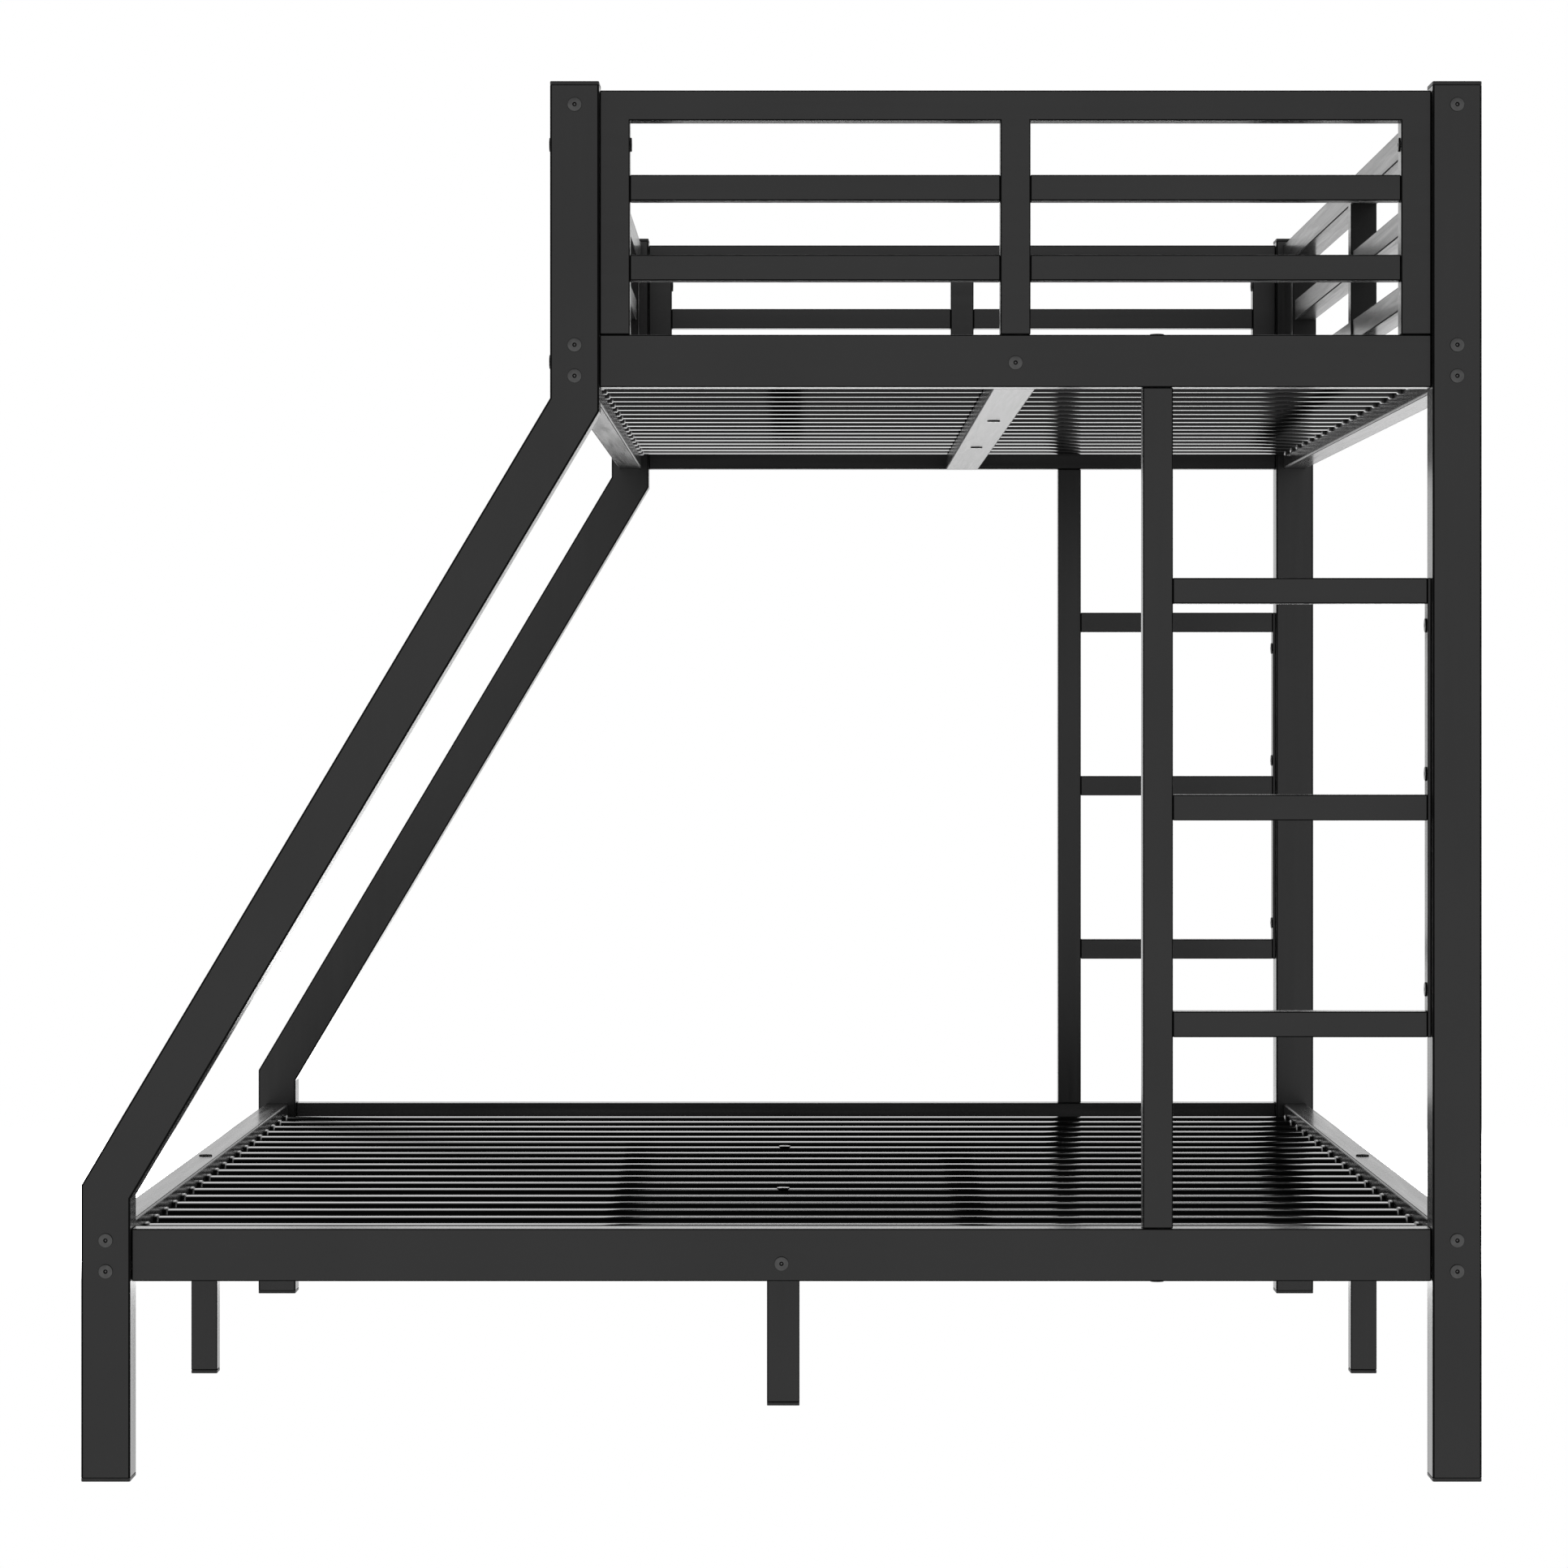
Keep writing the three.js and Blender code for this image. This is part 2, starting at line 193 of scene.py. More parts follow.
softbox = bpy.data.lights.new("overhead_softbox", "AREA")
softbox.shape = "SQUARE"
softbox.size = LAMP_ACROSS
softbox.energy = LAMP_POWER
overhead = bpy.data.objects.new("overhead_softbox", softbox)
overhead.location = (0, 0, frame_high.z + LAMP_ABOVE_BED)
overhead.visible_camera = False
overhead.visible_glossy = False
bpy.context.scene.collection.objects.link(overhead)
print("The lamp hangs at", round(overhead.location.z, 3), "metres")

# %% The floor
FLOOR_ACROSS = 120
STRIP_STARTS = 1.2
STRIP_ENDS = 4.4
STRIP_SHAPE = [(0, 0), (0.12, 1), (0.7, 1), (1, 0)]


def make_floor_finish():
    """White by its own light, with a brighter strip behind the bed."""
    finish = bpy.data.materials.new("studio_floor")
    finish.use_nodes = True
    nodes, links = finish.node_tree.nodes, finish.node_tree.links
    glow = nodes.new("ShaderNodeEmission")
    place = nodes.new("ShaderNodeTexCoord")
    parts = nodes.new("ShaderNodeSeparateXYZ")
    links.new(place.outputs["Object"], parts.inputs["Vector"])
    far = stretch_range(nodes, links, parts.outputs["Y"], (STRIP_STARTS, STRIP_ENDS), (0, 1))
    strip = shade_by(nodes, links, far, STRIP_SHAPE)
    strength = stretch_range(nodes, links, strip, (0, 1), (1, BACK_GLOW))
    links.new(strength, glow.inputs["Strength"])
    links.new(glow.outputs["Emission"], nodes["Material Output"].inputs["Surface"])
    return finish


bpy.ops.object.select_all(action="DESELECT")
bpy.ops.mesh.primitive_plane_add(size=FLOOR_ACROSS, location=(0, 0, 0))
floor = bpy.context.active_object
floor.name = floor.data.name = "studio_floor"
floor.data.materials.append(make_floor_finish())
floor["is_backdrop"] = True
print("The floor is", [round(v) for v in floor.dimensions[:2]], "metres across")

# %% [markdown]
# ## Finishes made of nodes
# Every finish here is one glossy shader with three small patterns on it: a slow cloud of two
# shades for the colour, long streaks for how glossy it is, and a fine grain that lifts the surface
# a few thousandths of a millimetre. The patterns read the piece's own coordinates in metres, so a
# scale of 10 means a patch about a tenth of a metre across, and a small scale along one axis draws
# the patches out into streaks. Each pattern has a helper of its own, and each finish is then a
# matter of its numbers.

# %% Clouds, streaks and grain
MOST_OF_NOISE = (0.3, 0.7)


def noise_on(nodes, links, place, scale, detail):
    """A noise pattern over a piece's own coordinates."""
    noise = nodes.new("ShaderNodeTexNoise")
    noise.inputs["Scale"].default_value = scale
    noise.inputs["Detail"].default_value = detail
    links.new(place, noise.inputs["Vector"])
    return noise


def add_cloud(nodes, links, place, shader, shades, scale):
    """Two shades of colour in slow patches."""
    patches = noise_on(nodes, links, place, scale, 5)
    tones = nodes.new("ShaderNodeValToRGB")
    for mark, position, shade in zip(tones.color_ramp.elements, MOST_OF_NOISE, shades):
        mark.position = position
        mark.color = (*shade, 1)
    links.new(patches.outputs["Fac"], tones.inputs["Fac"])
    links.new(tones.outputs["Color"], shader.inputs["Base Color"])


def add_streaks(nodes, links, place, shader, gloss, scales):
    """Long streaks between the smoothest and the roughest gloss."""
    stretch = nodes.new("ShaderNodeMapping")
    stretch.inputs["Scale"].default_value = scales
    links.new(place, stretch.inputs["Vector"])
    wipes = noise_on(nodes, links, stretch.outputs["Vector"], 1.0, 4)
    wipes.inputs["Distortion"].default_value = 0.6
    sheen = stretch_range(nodes, links, wipes.outputs["Fac"], MOST_OF_NOISE, gloss)
    links.new(sheen, shader.inputs["Roughness"])


def add_grain(nodes, links, place, shader, scale, lift):
    """A fine grain that lifts the surface."""
    peel = noise_on(nodes, links, place, scale, 2)
    relief = nodes.new("ShaderNodeBump")
    relief.inputs["Strength"].default_value = 0.6
    relief.inputs["Distance"].default_value = lift
    links.new(peel.outputs["Fac"], relief.inputs["Height"])
    links.new(relief.outputs["Normal"], shader.inputs["Normal"])


print("The patterns use the noise from", *MOST_OF_NOISE)

# %% [markdown]
# ## One finish from its numbers, and the paint
# A finish is a name, two shades, two glosses and the scales of its patterns. The tubes are powder
# coated in a semi-gloss black with a slight orange peel. The streaks run along the tube, so the
# paint is made three times, for tubes along each axis. The lengthwise tubes are seen at a very
# flat angle, where any paint turns into a mirror, so theirs is the least shiny.

# %% The paint of the tubes
def make_finish(name, shades, gloss, specular, metal, cloud, streak, grain, lift):
    """A finish from its shades and glosses, two of each, and the scales of its patterns."""
    finish = bpy.data.materials.new(name)
    finish.use_nodes = True
    nodes, links = finish.node_tree.nodes, finish.node_tree.links
    shader = nodes["Principled BSDF"]
    shader.inputs["Specular IOR Level"].default_value = specular
    shader.inputs["Metallic"].default_value = metal
    place = nodes.new("ShaderNodeTexCoord").outputs["Object"]
    add_cloud(nodes, links, place, shader, shades, cloud)
    add_streaks(nodes, links, place, shader, gloss, streak)
    add_grain(nodes, links, place, shader, grain, lift)
    return finish


def greys(dark, light):
    """A dark and a light grey, as colours."""
    return [(dark, dark, dark), (light, light, light)]


def streaks_along(axis, fine=110, long=3):
    """A pattern scale that is fine across a tube and drawn out along it."""
    return tuple(long if axis == i else fine for i in range(3))


TUBE_SHINE = [0.42, 0.18, 0.42]
tube_paints = [
    make_finish(
        f"tube_paint_{'xyz'[axis]}", shades=greys(0.0034, 0.0068), gloss=(0.19, 0.27),
        specular=shine, metal=0, cloud=5, streak=streaks_along(axis), grain=420, lift=4e-6,
    )
    for axis, shine in enumerate(TUBE_SHINE)
]
print("Paints made:", [paint.name for paint in tube_paints])

# %% [markdown]
# ## Corners, slats, plastic and bolts
# Each rounded corner gets a thin line of painted shade, a deeper, duller black, which draws the
# outline of every tube. The slats are the glossiest and darkest pieces, so that each mirrors the
# room as one bright line. The caps are moulded plastic with a fine matt grain and the slats' cups
# a smoother one. The bolts are blackened steel, a shade lighter than the paint, with painted
# shade, a dull black, on their sides and in their sockets.

# %% The other finishes
# Painted shade: a dull near-black on every rounded edge, drawing a dark outline round each piece.
painted_edge_shade = make_finish(
    "painted_edge_shade", shades=greys(0.0008, 0.0024), gloss=(0.6, 0.8),
    specular=0.06, metal=0, cloud=30, streak=(40, 40, 40), grain=700, lift=3e-5,
)
slat_paint = make_finish(
    "slat_paint", shades=greys(0.0006, 0.0014), gloss=(0.06, 0.075),
    specular=0.17, metal=0, cloud=8, streak=streaks_along(0), grain=300, lift=1e-6,
)
cap_plastic = make_finish(
    "cap_plastic", shades=greys(0.004, 0.008), gloss=(0.4, 0.5),
    specular=0.4, metal=0, cloud=40, streak=(60, 60, 60), grain=1500, lift=2e-5,
)
cup_plastic = make_finish(
    "cup_plastic", shades=greys(0.0006, 0.0014), gloss=(0.16, 0.22),
    specular=0.12, metal=0, cloud=60, streak=(90, 90, 90), grain=900, lift=2e-6,
)
bolt_steel = make_finish(
    "bolt_steel", shades=greys(0.072, 0.09), gloss=(0.3, 0.42),
    specular=0.5, metal=1, cloud=150, streak=(400, 400, 400), grain=2500, lift=2e-5,
)
bolt_shadow = make_finish(
    "bolt_shadow", shades=greys(0.0008, 0.0024), gloss=(0.6, 0.8),
    specular=0.05, metal=0, cloud=150, streak=(400, 400, 400), grain=2500, lift=1e-5,
)
print("Finishes made:", sorted(finish.name for finish in bpy.data.materials if finish.use_nodes))

# %% [markdown]
# ## Working by hand, in code
# In edit mode a tool acts on what is selected. By hand one would click an edge; in code the edge
# is picked by where it lies or which way it faces. These few helpers start a box between two
# corners, pick its faces or edges, and round the picked edges. A box is only the start of a tube:
# it is rounded, bent or extended before it is done.

# %% Helpers for starting and picking
def start_box(name, low, high, finishes):
    """A box between two corners, left in edit mode with nothing selected."""
    bpy.ops.object.select_all(action="DESELECT")
    bpy.ops.mesh.primitive_cube_add(size=1, location=(low + high) / 2, scale=high - low)
    piece = bpy.context.active_object
    piece.name = piece.data.name = name
    bpy.ops.object.transform_apply(location=True, rotation=True, scale=True)
    for finish in finishes:
        piece.data.materials.append(finish)
    bpy.ops.object.mode_set(mode="EDIT")
    bpy.ops.mesh.select_all(action="DESELECT")
    return piece


def pick(piece, kind, test):
    """Selects the faces, edges or verts that pass a test, and nothing else."""
    bpy.ops.mesh.select_mode(type={"faces": "FACE", "edges": "EDGE", "verts": "VERT"}[kind])
    bpy.ops.mesh.select_all(action="DESELECT")
    mesh = bmesh.from_edit_mesh(piece.data)
    picked = [part for part in getattr(mesh, kind) if test(part)]
    for part in picked:
        part.select_set(True)
    bmesh.update_edit_mesh(piece.data)
    return len(picked)


def middle_of(edge):
    """The point halfway along an edge."""
    return (edge.verts[0].co + edge.verts[1].co) / 2


def is_corner(edge):
    """True for an outward edge where two faces meet at a sharp angle."""
    return edge.is_convex and edge.calc_face_angle(0) > math.radians(50)


def round_picked(by, segments=3):
    """Rounds the selected edges, and gives the new faces the second finish, a painted dark shade.
    """
    bpy.ops.mesh.bevel(
        offset_type="OFFSET", offset=by, segments=segments, profile=0.5, affect="EDGES", material=1
    )


print("Tools for picking:", pick.__name__, middle_of.__name__, is_corner.__name__)

# %% [markdown]
# ## Handing a piece over
# A finished piece rides on the frame's one body and stands for one or more pieces of the frame.
# What the bed has many of, such as slats and bolts, is modelled once as a pattern. Each copy gets
# its own mesh, which is moved inside the piece so that the piece itself stays at the origin, and
# the pattern is thrown away in the end.

# %% Helpers for handing over and copying
def hand_over(piece, stands_for=()):
    """Leaves edit mode, ties the piece to the frame's body and hides the nodes it stands for."""
    if bpy.context.object.mode == "EDIT":
        bpy.ops.object.mode_set(mode="OBJECT")
    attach(piece, "root")
    if stands_for:
        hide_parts(*stands_for)
    return piece


def copy_piece(pattern, name, place, stands_for=()):
    """A copy of a pattern piece with its own mesh, moved or turned inside that mesh."""
    copy = pattern.copy()
    copy.data = pattern.data.copy()
    copy.name = copy.data.name = name
    copy.data.transform(place)
    bpy.context.scene.collection.objects.link(copy)
    return hand_over(copy, stands_for)


def put_away(pattern):
    """Removes a pattern once its copies are made."""
    mesh = pattern.data
    bpy.data.objects.remove(pattern)
    bpy.data.meshes.remove(mesh)


# %% [markdown]
# ## Square tubes
# Rails, bars, rungs and legs are lengths of square tube. Sheet steel can't fold to a sharp corner,
# so each has corners of one to three millimetres all round, and its cut ends are dressed the same
# way. Every rounded corner gets a line of painted shade, which also shows as a dark line where it
# meets the next piece. Beveling every edge of the box in one go makes the corners meet neatly at
# the ends. The side rails have the widest corners. Only the third of each corner next to the top
# or the bottom keeps the painted shade there. The rest is as glossy as the flats and catches a
# line of light.

# %% A helper for square tubes, and the rails round both decks
TUBE_ROUND = 0.0014
SIDE_RAIL_ROUND = 0.0026
ENDS = ["front", "back"]
DECKS = ["lower", "upper"]


def paints_for(size):
    """The paint with its streaks along the longest side, and the painted edge shade."""
    longest = max(range(3), key=lambda axis: size[axis])
    return [tube_paints[longest], painted_edge_shade]


def faces_sideways(face):
    """True for the two of a lengthwise corner's three faces that are nearer the tube's side."""
    return abs(face.normal.y) < 0.1 and 0.5 < abs(face.normal.x) < 0.98


def square_tube(name, low, high, stands_for=(), rounding=TUBE_ROUND, glossy_corners=False):
    """A square tube between two corners, all its edges rounded."""
    piece = start_box(name, low, high, paints_for(high - low))
    pick(piece, "edges", is_corner)
    round_picked(rounding)
    if glossy_corners:
        pick(piece, "faces", faces_sideways)
        piece.active_material_index = 0
        bpy.ops.object.material_slot_assign()
    return hand_over(piece, stands_for)


rails = [f"{end}_{deck}_end_rail" for end in ENDS for deck in DECKS]
for name in rails:
    rail = square_tube(f"{name}_tube", *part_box(name), stands_for=[name])
side_rails = [f"{side}_{deck}_side_rail" for side in ("left", "right") for deck in DECKS]
for name in side_rails:
    square_tube(f"{name}_tube", *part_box(name), [name], SIDE_RAIL_ROUND, glossy_corners=True)
print(len(rails + side_rails), "rails, each of", len(rail.data.polygons), "faces")

# %% [markdown]
# ## The straight posts
# The posts are the heaviest tubes, and two of them are straight. A post could be one more square
# tube from the helper above, but its ends are hidden under plastic caps and only eased, so its
# long corners and its cut ends are rounded in two goes with two sizes.

# %% The straight posts
POST_ROUND = 0.0022
CUT_END_ROUND = 0.0006


def round_post(piece, low, high):
    """Rounds a post's long corners, and only eases the cut ends, which the caps cover."""
    def at_end(edge):
        level = middle_of(edge).z
        return min(abs(level - low.z), abs(level - high.z)) < 1e-5

    pick(piece, "edges", lambda e: is_corner(e) and not at_end(e))
    round_picked(POST_ROUND)
    pick(piece, "edges", lambda e: is_corner(e) and at_end(e))
    round_picked(CUT_END_ROUND, segments=1)


for end in ENDS:
    name = f"{end}_straight_post"
    low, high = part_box(name)
    post = start_box(f"{name}_tube", low, high, paints_for(high - low))
    round_post(post, low, high)
    hand_over(post, [name])

# %% [markdown]
# ## The leaning posts
# These two start under the wide deck, lean inwards to the narrow one and stand upright again, each
# bend a mitre: a slanted joint that shares the turn equally between both lengths. That makes the
# leaning length exactly as thick as the upright ones. It could be three boxes cut to fit. Here it
# is one box whose top is slanted to the mitre and then pushed along twice, because moving the same
# slanted face keeps the two mitres parallel, as they are on the real post.

# %% The leaning posts
BEND_ABOVE_LOWER_RAIL = 0.0435
BEND_BELOW_UPPER_RAIL = 0.021
TOP_FACE_WITHIN = 0.1


def slide_picked(x, y, z):
    """Moves what is selected."""
    bpy.ops.transform.translate(value=(x, y, z))


def pull_out(x, y, z):
    """Extrudes the selected faces along a straight line."""
    bpy.ops.mesh.extrude_region_move(TRANSFORM_OT_translate={"value": (x, y, z)})


def leaning_post(end):
    """One leaning post, from its foot through both bends to its top."""
    name = f"{end}_lean_post"
    low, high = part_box(name)
    thick = high.y - low.y
    lower_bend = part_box(f"{end}_lower_end_rail")[1].z + BEND_ABOVE_LOWER_RAIL
    upper_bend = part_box(f"{end}_upper_end_rail")[0].z - BEND_BELOW_UPPER_RAIL
    across = high.x - low.x - thick
    up = upper_bend - lower_bend
    slant = thick / 2 * math.tan(math.atan2(across, up) / 2)

    foot_top = Vector((low.x + thick, high.y, lower_bend))
    piece = start_box(f"{name}_tube", low, foot_top, [tube_paints[2], painted_edge_shade])
    middle = low.x + thick / 2
    pick(piece, "verts", lambda v: v.co.z > lower_bend - 0.001 and v.co.x < middle)
    slide_picked(0, 0, slant)
    pick(piece, "verts", lambda v: v.co.z > lower_bend - 0.001 and v.co.x > middle)
    slide_picked(0, 0, -slant)
    pick(piece, "faces", lambda f: f.normal.z > 0.5)
    pull_out(across, 0, up)
    pull_out(0, 0, high.z - upper_bend)
    middle = high.x - thick / 2
    pick(piece, "verts", lambda v: v.co.z > high.z - TOP_FACE_WITHIN and v.co.x < middle)
    slide_picked(0, 0, -slant)
    pick(piece, "verts", lambda v: v.co.z > high.z - TOP_FACE_WITHIN and v.co.x > middle)
    slide_picked(0, 0, slant)
    round_post(piece, low, high)
    return hand_over(piece, [name])


for end in ENDS:
    post = leaning_post(end)

# %% [markdown]
# ## Caps and feet
# A moulded plate closes each post at the top and keeps its foot off the floor. Behind the plate a
# plug grips the inside of the tube. The plate's outer corners are rounded like the tube's. The
# plug is the plate's inner face, inset by the wall and pushed out, so plate and plug are one piece
# as they are in the mould. The four legs under the lower deck have the same feet.

# %% The post caps and all the feet
CAP_THICK = 0.004
CAP_RIM_ROUND = 0.0008
WALL = 0.002


def plug_cap(name, corner_round):
    """A cap in the box of its node: the plate at the outside, the plug towards the tube."""
    low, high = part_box(name)
    middle = (low + high) / 2
    at_floor = low.z < 0.001
    plate_low, plate_high = low.copy(), high.copy()
    if at_floor:
        plate_high.z = low.z + CAP_THICK
    else:
        plate_low.z = high.z - CAP_THICK
    piece = start_box(f"{name}_plate", plate_low, plate_high, [cap_plastic, painted_edge_shade])
    pick(piece, "edges", lambda e: abs(e.verts[0].co.z - e.verts[1].co.z) > 0.001)
    bpy.ops.mesh.bevel(offset=corner_round, segments=3, profile=0.5, affect="EDGES")
    outside = min if at_floor else max
    rim = outside(plate_low.z, plate_high.z)
    pick(piece, "edges", lambda e: abs(middle_of(e).z - rim) < 1e-5)
    round_picked(CAP_RIM_ROUND, segments=2)
    facing = 1 if at_floor else -1
    pick(piece, "faces", lambda f: f.normal.z * facing > 0.9)
    bpy.ops.mesh.inset(thickness=WALL)
    pull_out(0, 0, facing * (high.z - low.z - CAP_THICK))
    return hand_over(piece, [name])


for end in ENDS:
    for post in ("lean", "straight"):
        plug_cap(f"{end}_{post}_post_foot", POST_ROUND)
        plug_cap(f"{end}_{post}_post_cap", POST_ROUND)
LEGS = ["left_side_leg", "right_side_leg", "front_centre_leg", "back_centre_leg"]
for leg in LEGS:
    square_tube(f"{leg}_tube", *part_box(leg), stands_for=[leg])
    foot = plug_cap(f"{leg}_foot", TUBE_ROUND)
print("Caps and feet:", 8 + len(LEGS), "of", len(foot.data.polygons), "faces each")

# %% [markdown]
# ## The guardrails
# A guardrail is a welded frame, a top rail with three uprights under it, with two bars across each
# bay. The frame's welds are ground flat, so no joint shows in it. It is modelled that way too: the
# top rail's underside is divided where the uprights stand, and those squares are pushed down to
# the deck. Rounding all its outward edges then runs the corners from rail to upright. The bars are
# smaller tubes set between the uprights, and their ends show.

# %% A helper for guard frames
GUARD_TUBE = 0.035
GUARD_BAR = 0.030
SIDE_UPRIGHT_IN = 0.1267


def divide_at(piece, along, place):
    """Cuts all faces by the plane across one axis, without opening them."""
    bpy.ops.mesh.select_all(action="SELECT")
    point, normal = Vector((0, 0, 0)), Vector((0, 0, 0))
    point[along], normal[along] = place, 1
    bpy.ops.mesh.bisect(plane_co=point, plane_no=normal)


def guard_frame(name, along, uprights):
    """A top rail with uprights: uprights is a list of (from, to) along the rail's own axis."""
    low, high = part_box(name)
    rail_low = low.copy()
    rail_low.z = high.z - GUARD_TUBE
    piece = start_box(f"{name}_frame", rail_low, high, paints_for(high - rail_low))
    for start, stop in uprights:
        for place in (start, stop):
            if low[along] + 0.001 < place < high[along] - 0.001:
                divide_at(piece, along, place)

    def under_upright(face):
        place = face.calc_center_median()[along]
        return face.normal.z < -0.9 and any(start < place < stop for start, stop in uprights)

    count = pick(piece, "faces", under_upright)
    pull_out(0, 0, low.z - rail_low.z)
    bpy.ops.mesh.select_all(action="SELECT")
    bpy.ops.mesh.dissolve_limited(angle_limit=math.radians(1))
    pick(piece, "edges", is_corner)
    round_picked(TUBE_ROUND)
    hand_over(piece, [name])
    return count


def guard_bars(name, along, uprights):
    """Two bars between each pair of uprights, at thirds of the clear height."""
    low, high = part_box(name)
    side = 1 - along
    middle = (low[side] + high[side]) / 2
    clear = high.z - GUARD_TUBE - low.z
    space = (clear - 2 * GUARD_BAR) / 3
    made = 0
    for level in (1, 2):
        foot = low.z + level * space + (level - 1) * GUARD_BAR
        for bay in (0, 1):
            bar_low, bar_high = Vector((0, 0, foot)), Vector((0, 0, foot + GUARD_BAR))
            bar_low[along], bar_high[along] = uprights[bay][1], uprights[bay + 1][0]
            bar_low[side], bar_high[side] = middle - GUARD_BAR / 2, middle + GUARD_BAR / 2
            square_tube(f"{name}_bar_{bay + 1}{level}", bar_low, bar_high, stands_for=[name])
            made += 1
    return made


# %% [markdown]
# ## Where the uprights stand
# Each guardrail has one upright near each end and one in the middle. At the ends of the bed the
# outer uprights stand right at the posts. On the long sides they stand a hand's width in, and the
# top rail alone runs on to the posts.

# %% The four guardrails
def end_uprights(name, along, inset):
    """Where the three uprights start and stop along their guardrail."""
    low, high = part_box(name)
    middle = (low[along] + high[along]) / 2
    return [
        (low[along] + inset, low[along] + inset + GUARD_TUBE),
        (middle - GUARD_TUBE / 2, middle + GUARD_TUBE / 2),
        (high[along] - inset - GUARD_TUBE, high[along] - inset),
    ]


for name, along, inset in [
    ("front_guardrail", 0, 0),
    ("back_guardrail", 0, 0),
    ("left_guardrail", 1, SIDE_UPRIGHT_IN),
    ("right_guardrail", 1, SIDE_UPRIGHT_IN),
]:
    uprights = end_uprights(name, along, inset)
    standing = guard_frame(name, along, uprights)
    print(name, "has", standing, "uprights and", guard_bars(name, along, uprights), "bars")

# %% [markdown]
# ## The ladders
# Each ladder is one stile, three rungs and a flat strip that is bolted to the straight post. The
# rungs are set between stile and strip, a quarter of the climb apart. Stile and rungs are square
# tubes. The strip is plate, so its corners are only eased.

# %% The stiles, rungs and strips
STILE = 0.035
RUNG = 0.030
RUNGS = 3
STRIP = 0.004
STRIP_ROUND = 0.0008


def rung_tops(end):
    """The height of each rung's top, from the lowest up."""
    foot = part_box(f"{end}_ladder")[0].z
    rail_low, rail_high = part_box(f"{end}_upper_end_rail")
    step = ((rail_low.z + rail_high.z) / 2 - foot) / (RUNGS + 1)
    return [foot + (i + 1) * step for i in range(RUNGS)]


def ladder(end):
    """One ladder, of which it gives back the heights of the rungs."""
    node = f"{end}_ladder"
    low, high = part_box(node)
    middle = (low.y + high.y) / 2
    tops = rung_tops(end)
    square_tube(f"{node}_stile", low, Vector((low.x + STILE, high.y, high.z)), [node])
    strip_x = high.x - STRIP
    for i, top in enumerate(tops):
        rung_low = Vector((low.x + STILE, middle - RUNG / 2, top - RUNG))
        rung_high = Vector((strip_x, middle + RUNG / 2, top))
        square_tube(f"{node}_rung_{i + 1}", rung_low, rung_high, [node])
    strip_low = Vector((strip_x, middle - RUNG / 2, tops[0] - RUNG))
    strip_high = Vector((high.x, middle + RUNG / 2, tops[-1]))
    square_tube(f"{node}_strip", strip_low, strip_high, [node], STRIP_ROUND)
    return tops


for end in ENDS:
    print(end, "rungs at", [round(top, 4) for top in ladder(end)])

# %% [markdown]
# ## The slatted decks
# Twenty round tubes lie across each deck, evenly spaced, and the first and last of them are nearly
# as far from the end rails as the slats are from each other. Their places could be listed one by
# one, but worked out from the end rails they stay even when the bed is made longer.

# %% Where the slats lie
SLATS = 20
FIRST_SLAT_IN = 0.089


def slat_places(deck):
    """The distance of each slat along the bed."""
    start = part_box(f"front_{deck}_end_rail")[1].y + FIRST_SLAT_IN
    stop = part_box(f"back_{deck}_end_rail")[0].y - FIRST_SLAT_IN
    return [start + i * (stop - start) / (SLATS - 1) for i in range(SLATS)]


pitch = slat_places("lower")[1] - slat_places("lower")[0]
print("Slats lie", round(pitch, 4), "apart")

# %% [markdown]
# ## A slat and its cup
# Each slat is a thin tube with its ends set in a plastic cup against the side rail. One slat and
# one cup are modelled and then copied, each copy with its own mesh. A slat is a cylinder with its
# ends dressed. The cup is a short wide one whose mouth is inset to the slat's size and pressed in.
# Its rim tapers towards the slat, which catches a spot of light beside the slat's own line.

# %% A slat and its cup
SLAT_ROUND = 0.0286
SLAT_END_ROUND = 0.0008
CUP_ROUND = 0.0332
CUP_LONG = 0.006
CUP_LIP = 0.0023
CUP_TAPER = 0.0017
CUP_DEEP = CUP_LONG * 0.7
ROD_SIDES = 28


def start_rod(name, across, long, finishes):
    """A cylinder along x round the origin, in edit mode with nothing selected."""
    bpy.ops.object.select_all(action="DESELECT")
    bpy.ops.mesh.primitive_cylinder_add(
        vertices=ROD_SIDES, radius=across / 2, depth=long, rotation=(0, math.radians(90), 0)
    )
    piece = bpy.context.active_object
    piece.name = piece.data.name = name
    bpy.ops.object.transform_apply(location=True, rotation=True, scale=True)
    for finish in finishes:
        piece.data.materials.append(finish)
    bpy.ops.object.mode_set(mode="EDIT")
    bpy.ops.mesh.select_all(action="DESELECT")
    return piece


def smooth_round(piece):
    """Leaves edit mode, and shades the round sides smooth and the ends flat."""
    bpy.ops.object.mode_set(mode="OBJECT")
    bpy.ops.object.select_all(action="DESELECT")
    piece.select_set(True)
    bpy.context.view_layer.objects.active = piece
    bpy.ops.object.shade_smooth_by_angle(angle=math.radians(35))


def slat_pattern(long):
    """A slat as long as its deck is wide."""
    slat = start_rod("slat_pattern", SLAT_ROUND, long, [slat_paint, painted_edge_shade])
    pick(slat, "edges", is_corner)
    round_picked(SLAT_END_ROUND, segments=1)
    smooth_round(slat)
    return slat


def is_cup_rim(edge):
    """True for the outer edge of the cup's mouth."""
    place = middle_of(edge)
    is_outer = place.yz.length > (CUP_ROUND - CUP_LIP) / 2
    return is_corner(edge) and place.x > CUP_LONG * 0.45 and is_outer


